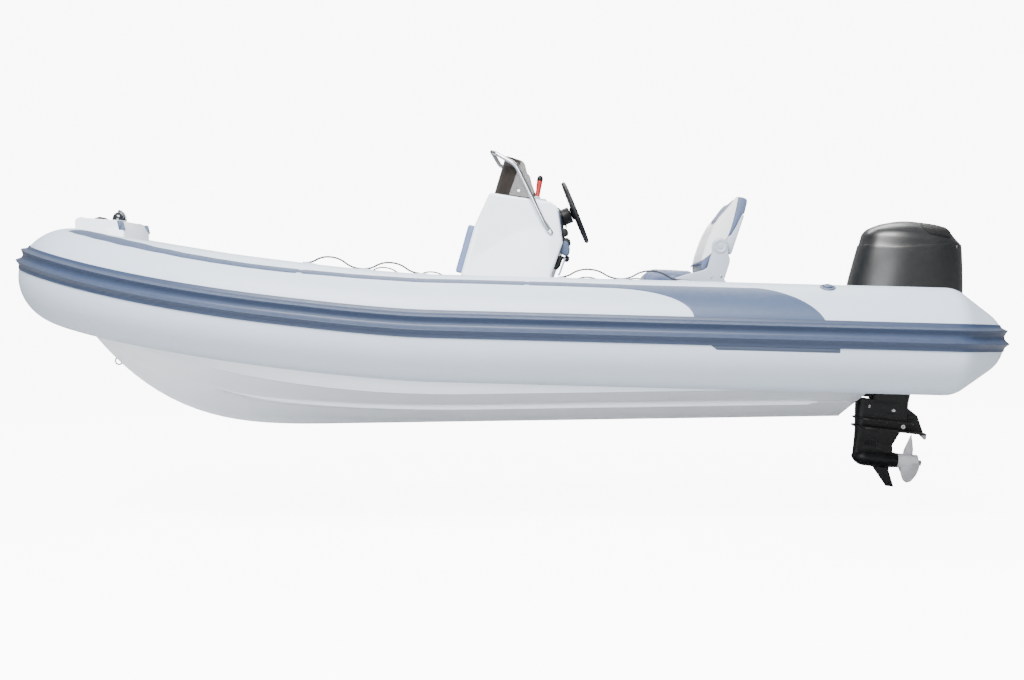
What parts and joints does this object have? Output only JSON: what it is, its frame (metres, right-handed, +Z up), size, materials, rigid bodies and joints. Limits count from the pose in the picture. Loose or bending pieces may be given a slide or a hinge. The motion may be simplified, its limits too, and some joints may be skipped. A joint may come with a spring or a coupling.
{
  "type": "rigid inflatable boat",
  "caption": "Rigid inflatable boat: vee hull in an inflated collar, centre console with screen and wheel, folding helm seat, locker hatch and a tilting, steering outboard engine.",
  "frame": {"origin": "on the centreline at the waterline, above the aft end of the keel", "axes": "+X towards the bow, +Y to port, +Z up"},
  "size_m": [5.732, 2.4586, 2.0699],
  "materials": {
    "collar_fabric": "satin",
    "strake_rubber": "matte",
    "gelcoat_white": "gloss",
    "deck_grip": "satin",
    "step_grip": "matte",
    "upholstery": "satin",
    "upholstery_pale": "satin",
    "smoked_screen": "gloss",
    "stainless": "polished",
    "black_plastic": "satin",
    "grip_black": "matte",
    "panel_plastic": "satin",
    "lamp_dome": "gloss",
    "rope_white": "matte",
    "patch_rubber": "satin",
    "valve_plastic": "satin",
    "engine_paint": "gloss",
    "engine_shell": "gloss",
    "engine_cast": "matte",
    "leg_paint": "satin",
    "tab_zinc": "matte",
    "prop_metal": "satin"
  },
  "bodies": {
    "boat": {"hull": "gelcoat_white", "collar": "collar_fabric", "rub_strake": "strake_rubber", "deck": "deck_grip", "foredeck": "deck_grip", "transom": "gelcoat_white", "splash_well": "gelcoat_white", "bow_step": "gelcoat_white", "bow_light": "lamp_dome", "fairlead": "stainless", "bow_eye": "stainless", "console": "gelcoat_white", "console_back_pad": "upholstery", "windscreen": "smoked_screen", "console_rail": "stainless", "helm": "black_plastic", "dash_panel": "panel_plastic", "engine_control": "black_plastic", "seat_base": "gelcoat_white", "seat_cushion": "upholstery", "seat_arm_port": "gelcoat_white", "seat_arm_starboard": "gelcoat_white", "grab_lines": "rope_white", "rope_patches": "patch_rubber", "valves": "valve_plastic", "clamp_bracket": "engine_paint"},
    "hatch": {"bow_hatch": "deck_grip"},
    "front_seat_lid": {"front_seat": "upholstery"},
    "wheel": {"steering_wheel": "grip_black"},
    "backrest": {"backrest_shell": "upholstery_pale", "backrest_pad": "upholstery"},
    "swivel": {"swivel_bracket": "engine_paint"},
    "outboard": {"steering_arm": "engine_paint", "midsection": "leg_paint", "lower_cowl": "engine_shell", "cowl": "engine_shell", "powerhead": "engine_cast", "gearcase": "leg_paint", "trim_tab": "tab_zinc"},
    "screw": {"propeller": "prop_metal", "prop_nut": "stainless"}
  },
  "joints": [
    {"name": "bow_hatch_hinge", "type": "hinge", "parent": "boat", "child": "hatch", "pos_m": [3.96, 0, 0.5228], "axis": [0, 1, 0], "range_deg": [0, 100]},
    {"name": "front_seat_hinge", "type": "hinge", "parent": "boat", "child": "front_seat_lid", "pos_m": [2.725, 0, 0.4503], "axis": [0, 1, 0], "range_deg": [0, 100]},
    {"name": "backrest_fold", "type": "hinge", "parent": "boat", "child": "backrest", "pos_m": [0.746, 0, 0.735], "axis": [0, 1, 0], "range_deg": [0, 70]},
    {"name": "outboard_tilt", "type": "hinge", "parent": "boat", "child": "swivel", "pos_m": [-0.135, 0, 0.245], "axis": [0, 1, 0], "range_deg": [0, 66]},
    {"name": "outboard_steer", "type": "hinge", "parent": "swivel", "child": "outboard", "pos_m": [-0.2024, 0, 0.2361], "axis": [-0.1305, 0, 0.9915], "range_deg": [-30, 30]},
    {"name": "steering_wheel_turn", "type": "hinge", "parent": "boat", "child": "wheel", "pos_m": [1.598, 0, 0.975], "axis": [-0.9315, 0, 0.3636], "range_deg": [-630, 630]},
    {"name": "propeller_spin", "type": "hinge", "parent": "outboard", "child": "screw", "pos_m": [-0.42, 0, -0.5863], "axis": [-0.9915, 0, -0.1305], "continuous": true}
  ],
  "couplings": [
    {"joint": "steering_wheel_turn", "follows": "outboard_steer", "ratio": -21}
  ]
}
